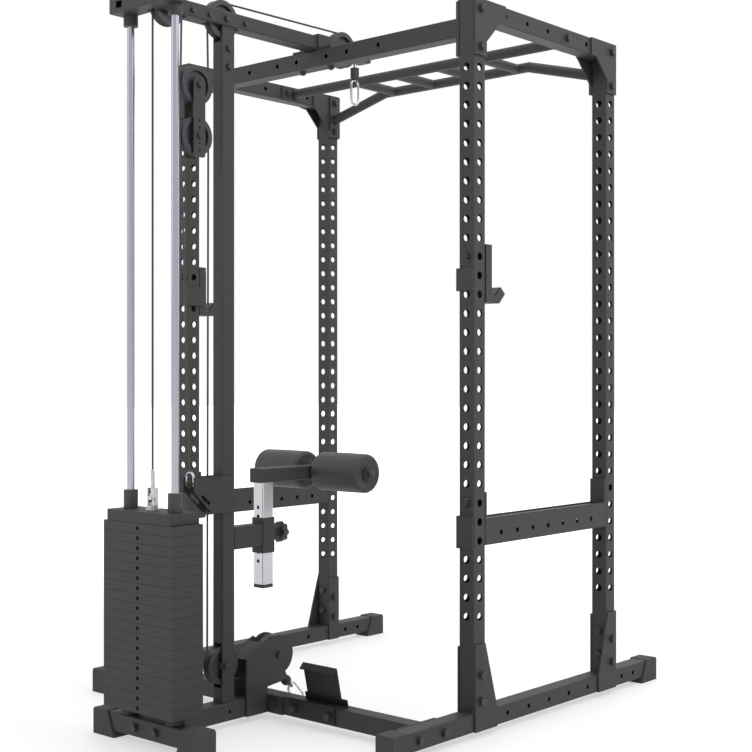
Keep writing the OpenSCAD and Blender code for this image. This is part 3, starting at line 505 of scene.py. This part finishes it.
def softened(node, width, segments=2, angle=38):
    source = nodes[node]
    piece = source.copy()
    piece.data = source.data.copy()
    for key in list(piece.keys()):
        del piece[key]
    piece.parent = None
    piece.name = node + "_finished"
    bpy.context.scene.collection.objects.link(piece)
    pick(piece)
    bpy.ops.object.mode_set(mode="EDIT")
    bpy.ops.mesh.select_all(action="SELECT")
    bpy.ops.mesh.remove_doubles(threshold=0.00001)
    bpy.ops.mesh.dissolve_limited(angle_limit=math.radians(0.6))
    bpy.ops.object.mode_set(mode="OBJECT")
    applied(piece, "BEVEL", width=width, segments=segments, limit_method="ANGLE",
            angle_limit=math.radians(angle), use_clamp_overlap=True)
    smooth(piece, 32)
    applied(piece, "WEIGHTED_NORMAL", keep_sharp=True, weight=90)
    return finishNode(piece, node, node)


edgeWidths = {
    "base_rail_right": 0.0008, "base_rail_left": 0.0008, "rubber_end_caps": 0.0022,
    "upright_rear_right": 0.0006, "upright_front_right": 0.0006, "upright_front_left": 0.0006,
    "upright_rear_left": 0.0006, "top_side_beam_right": 0.0008, "top_side_beam_left": 0.0008,
    "rear_top_crossbeam": 0.0008, "rear_bottom_crossbeam": 0.0008, "pull_up_bar": 0.0006,
    "frame_bolts": 0.0006, "tower_post": 0.0006, "lat_boom": 0.0006, "boom_clamp": 0.0010,
    "stack_top_crossmember": 0.0008, "guide_rods": 0.0012, "stack_base_crossbar": 0.0006, "base_beam": 0.0006,
    "stack_bumpers": 0.0030, "resting_plates": 0.0011, "low_pulley_housing": 0.0010, "foot_plate": 0.0008,
    "anchor_bracket": 0.0008, "pulley_axles": 0.0005, "leg_holder_arm": 0.0008, "stack_top_plate": 0.0020,
    "lifted_plates": 0.0011, "guide_bushes": 0.0012, "selector_stem": 0.0006, "selector_pin": 0.0014,
    "lat_stopper": 0.0024, "lat_carabiner": 0.0004, "lat_gate": 0.0006, "pulley_block": 0.0007,
    "low_stopper": 0.0006, "low_carabiner": 0.0004, "low_gate": 0.0006, "jcup_right": 0.0014,
    "jcup_left": 0.0014, "safety_arm_right": 0.0010, "arm_liner_right": 0.0010, "safety_arm_left": 0.0010,
    "arm_liner_left": 0.0010, "height_tube": 0.0006, "tube_plug": 0.0012, "roller_arm": 0.0010,
    "clamp_knob": 0.0020,
}
for node, width in edgeWidths.items():
    softened(node, width)
print("edges softened:", len(edgeWidths))

# pulleys

pulleyLook = {"rim": 0.0528, "halfWidth": 0.0125, "groove": 0.0452, "web": 0.0045, "hub": 0.0130,
              "bore": 0.0052, "hubHalf": 0.0164, "spokes": 6, "grooveDeep": 0.0030, "dimple": 0.001}


def pulleyPiece(node):
    p = pulleyLook
    c = centre(node)
    deep = p["grooveDeep"]
    profile = [(p["bore"], -p["hubHalf"]), (p["hub"] - 0.001, -p["hubHalf"]), (p["hub"], -p["hubHalf"] + 0.001),
               (p["hub"] + 0.001, -p["web"]), (p["rim"] - 0.016, -p["web"]),
               (p["rim"] - 0.0145, -p["halfWidth"] + 0.0006), (p["rim"] - 0.0139, -p["halfWidth"]),
               (p["rim"] - 0.0012, -p["halfWidth"]), (p["rim"], -p["halfWidth"] + 0.0012),
               (p["rim"], -p["halfWidth"] + 0.0024), (p["groove"] + deep, -deep * 1.15),
               (p["groove"] + 0.0009, -deep * 0.7), (p["groove"], 0)]
    whole = profile + [(r, -d) for r, d in reversed(profile[:-1])]
    whole.append(whole[0])
    piece = lathe(node + "_turned", whole, c, "X", 96)
    # shallow dimples between the spokes
    for vertex in piece.data.vertices:
        off = vertex.co - c
        radius = math.hypot(off.y, off.z)
        if p["hub"] + 0.002 < radius < p["rim"] - 0.017:
            between = math.cos(p["spokes"] * math.atan2(off.z, off.y)) > 0
            vertex.co.x -= math.copysign(p["dimple"], off.x) * between
    smooth(piece, 30)
    return finishNode(piece, node, node)


for node in ["stack_top_pulley", "post_top_pulley", "front_pulley", "low_rear_pulley", "low_front_pulley",
             "block_upper_pulley", "block_lower_pulley"]:
    pulleyPiece(node)
print("pulleys turned")

# foam rollers of the leg holder

rollerLook = {"edge": 0.009, "crown": 0.0008, "crease": 0.0016, "creases": 24, "boreR": 0.0130, "steps": 192,
              "creaseFrom": 0.018, "creaseRim": 0.002}
# radius and depth of the end face's shallow rings
faceRings = [(0.040, 0.0008), (0.032, 0.0010), (0.024, 0.0006), (0.019, 0)]
# radius and distance outwards from the foam
endNut = {"outline": [(0, 0.0135), (0.006, 0.013), (0.0095, 0.0105), (0.0105, 0.007), (0.0105, 0.0035),
                      (0.0150, 0.0032), (0.0150, 0.0), (0, 0.0)], "steps": 48, "out": 0.006}


def rollerPiece(node):
    r = rollerLook
    low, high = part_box(node)
    c = (low + high) / 2
    half = (high.x - low.x) / 2
    big = (high.z - low.z) / 2
    edge = [(big - r["edge"] * (1 - math.cos(a)), half - r["edge"] * (1 - math.sin(a)))
            for a in [math.radians(t) for t in range(0, 91, 15)]]
    stations = [half * k / 8 - r["edge"] * k / 8 for k in range(-8, 9)]
    body = [(big + r["crown"] * (1 - (t / half) ** 2), t) for t in stations]
    face = [(big - r["edge"] - 0.004, half)] + [(radius, half - depth) for radius, depth in faceRings]
    face.append((r["boreR"], half - 0.0015))
    right = edge[1:] + face
    profile = [(p, -d) for p, d in reversed(right)] + body + right
    profile.append(profile[0])
    piece = lathe(node + "_foam", profile, c, "X", r["steps"])
    for vertex in piece.data.vertices:
        off = vertex.co - c
        radius = math.hypot(off.y, off.z)
        outer = big - r["creaseRim"]
        if abs(off.x) > half - 0.004 and r["creaseFrom"] < radius < outer:
            ridge = max(0.0, math.cos(r["creases"] * math.atan2(off.z, off.y))) ** 6
            strength = min(1.0, (radius - r["creaseFrom"]) / 0.008, (outer - radius) / 0.006)
            vertex.co.x -= math.copysign(r["crease"] * ridge * strength, off.x)
    smooth(piece, 60)
    finishPiece(piece, bodyOf[node], "foam", mats["foam"], node)
    return piece


for node in ["roller_right", "roller_left"]:
    rollerPiece(node)
    low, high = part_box(node)
    side = 1 if node.endswith("right") else -1
    outer = high.x if side > 0 else low.x
    y, z = flat((low + high) / 2)
    nut = lathe(node + "_end_nut", endNut["outline"], (0, 0, 0), "X", endNut["steps"])
    place = Matrix.Translation((outer + side * endNut["out"], y, z))
    nut.data.transform(place @ Matrix.Diagonal((side, 1, 1, 1)))
    if side < 0:
        nut.data.flip_normals()
    finishPiece(smooth(nut, 35), "leg", "bolt_black", mats["bolt_black"])
print("rollers padded")

# shackle on the cable anchor

shackle = {"wire": 0.0034, "halfGap": 0.0135, "legs": 0.016}
anchorZ = anchorPoint[1] - 0.012
bowTurns = [math.radians(t) for t in range(0, 181, 12)]
bowArc = [(-shackle["halfGap"] * math.cos(t), shackle["legs"] + shackle["halfGap"] * math.sin(t)) for t in bowTurns]
shacklePath = [(-shackle["halfGap"], -0.006)] + bowArc + [(shackle["halfGap"], -0.006)]


def bentWire(name, path, radius, sides=16):
    # path: points in the XZ plane about the origin
    verts = []
    for i, (x, z) in enumerate(path):
        a, b = path[max(i - 1, 0)], path[min(i + 1, len(path) - 1)]
        heading = math.atan2(b[1] - a[1], b[0] - a[0])
        for s in range(sides):
            t = 2 * math.pi * s / sides
            verts.append((x - radius * math.sin(t) * math.sin(heading), radius * math.cos(t),
                          z + radius * math.sin(t) * math.cos(heading)))
    return swept(name, verts, len(path), sides, 50)


bow = bentWire("anchor_shackle", shacklePath, shackle["wire"])
bow.data.transform(Matrix.Translation((0, anchorPoint[0], anchorZ)))
finishPiece(bow, "root", "bright_steel", mats["bright_steel"])

# coiled lanyard that keeps the selector pin on the stack
lanyard = {"wire": 0.0011, "coil": 0.0042, "turns": 30, "perTurn": 10, "sides": 8, "sag": 0.030}


def coiledCord(name, start, end):
    c = lanyard
    start, end = Vector(start), Vector(end)
    steps = c["turns"] * c["perTurn"]
    points = []
    for i in range(steps + 1):
        t = i / steps
        middle = start.lerp(end, t) + Vector((0.012, c["sag"], -c["sag"] * 0.5)) * math.sin(math.pi * t)
        spin = 2 * math.pi * c["turns"] * t
        spread = min(1.0, 6 * t, 6 * (1 - t))
        points.append(middle + Vector((math.cos(spin), math.sin(spin), 0)) * c["coil"] * spread)
    verts = []
    for i, point in enumerate(points):
        ahead = (points[min(i + 1, steps)] - points[max(i - 1, 0)]).normalized()
        side = ahead.cross(Vector((0, 0, 1))).normalized()
        up = side.cross(ahead)
        for k in range(c["sides"]):
            a = 2 * math.pi * k / c["sides"]
            verts.append(point + (side * math.cos(a) + up * math.sin(a)) * c["wire"])
    piece = swept(name, verts, steps + 1, c["sides"], 60)
    piece.data.materials.append(mats["cable_jacket"])
    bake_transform(piece)
    return piece


plateLow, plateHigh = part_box("stack_top_plate")
pinLow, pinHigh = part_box("selector_pin")
coiledCord("pin_lanyard", (0.036, plateHigh.y + 0.0005, (plateLow.z + plateHigh.z) / 2),
           (0.004, pinHigh.y - 0.010, pinHigh.z - 0.002))

# liners of the J-cups

linerLook = {"thick": 0.004, "inset": 0.003, "wallFromBack": 0.0878, "troughUp": 0.022, "wallUp": 0.118,
             "floorRun": 0.018, "lipRun": 0.036, "lipUp": 0.018, "cupWide": 0.052}


def cupLiner(node, side):
    low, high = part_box(node)
    look = linerLook
    t = look["thick"]
    face = low.y + look["wallFromBack"]
    trough = low.z + look["troughUp"]
    bend = face + look["floorRun"]
    lip = (face + look["lipRun"], trough + look["lipUp"])
    profile = [(face, trough + look["wallUp"]), (face, trough), (bend, trough), lip]
    inner = [(face + t, trough + look["wallUp"]), (face + t, trough + t), (bend - t * 0.4, trough + t),
             (lip[0] - t * 0.7, lip[1] + t * 0.7)]
    x0 = (high.x - look["cupWide"] if side > 0 else low.x) + look["inset"]
    wide = look["cupWide"] - 2 * look["inset"]
    loop = profile + inner[::-1]
    verts = [(x0, y, z) for y, z in loop]
    piece = meshObject(node + "_liner", verts, (), [tuple(range(len(loop)))])
    pick(piece)
    bpy.ops.object.mode_set(mode="EDIT")
    bpy.ops.mesh.select_all(action="SELECT")
    bpy.ops.mesh.extrude_region_move(TRANSFORM_OT_translate={"value": (wide, 0, 0)})
    bpy.ops.object.mode_set(mode="OBJECT")
    outward(piece)
    applied(piece, "BEVEL", width=0.0008, segments=2, limit_method="ANGLE", angle_limit=math.radians(40))
    return finishPiece(smooth(piece, 35), bodyOf[node], "black_plastic", mats["black_plastic"])


cupLiner("jcup_right", 1)
cupLiner("jcup_left", -1)
print("small pieces added")
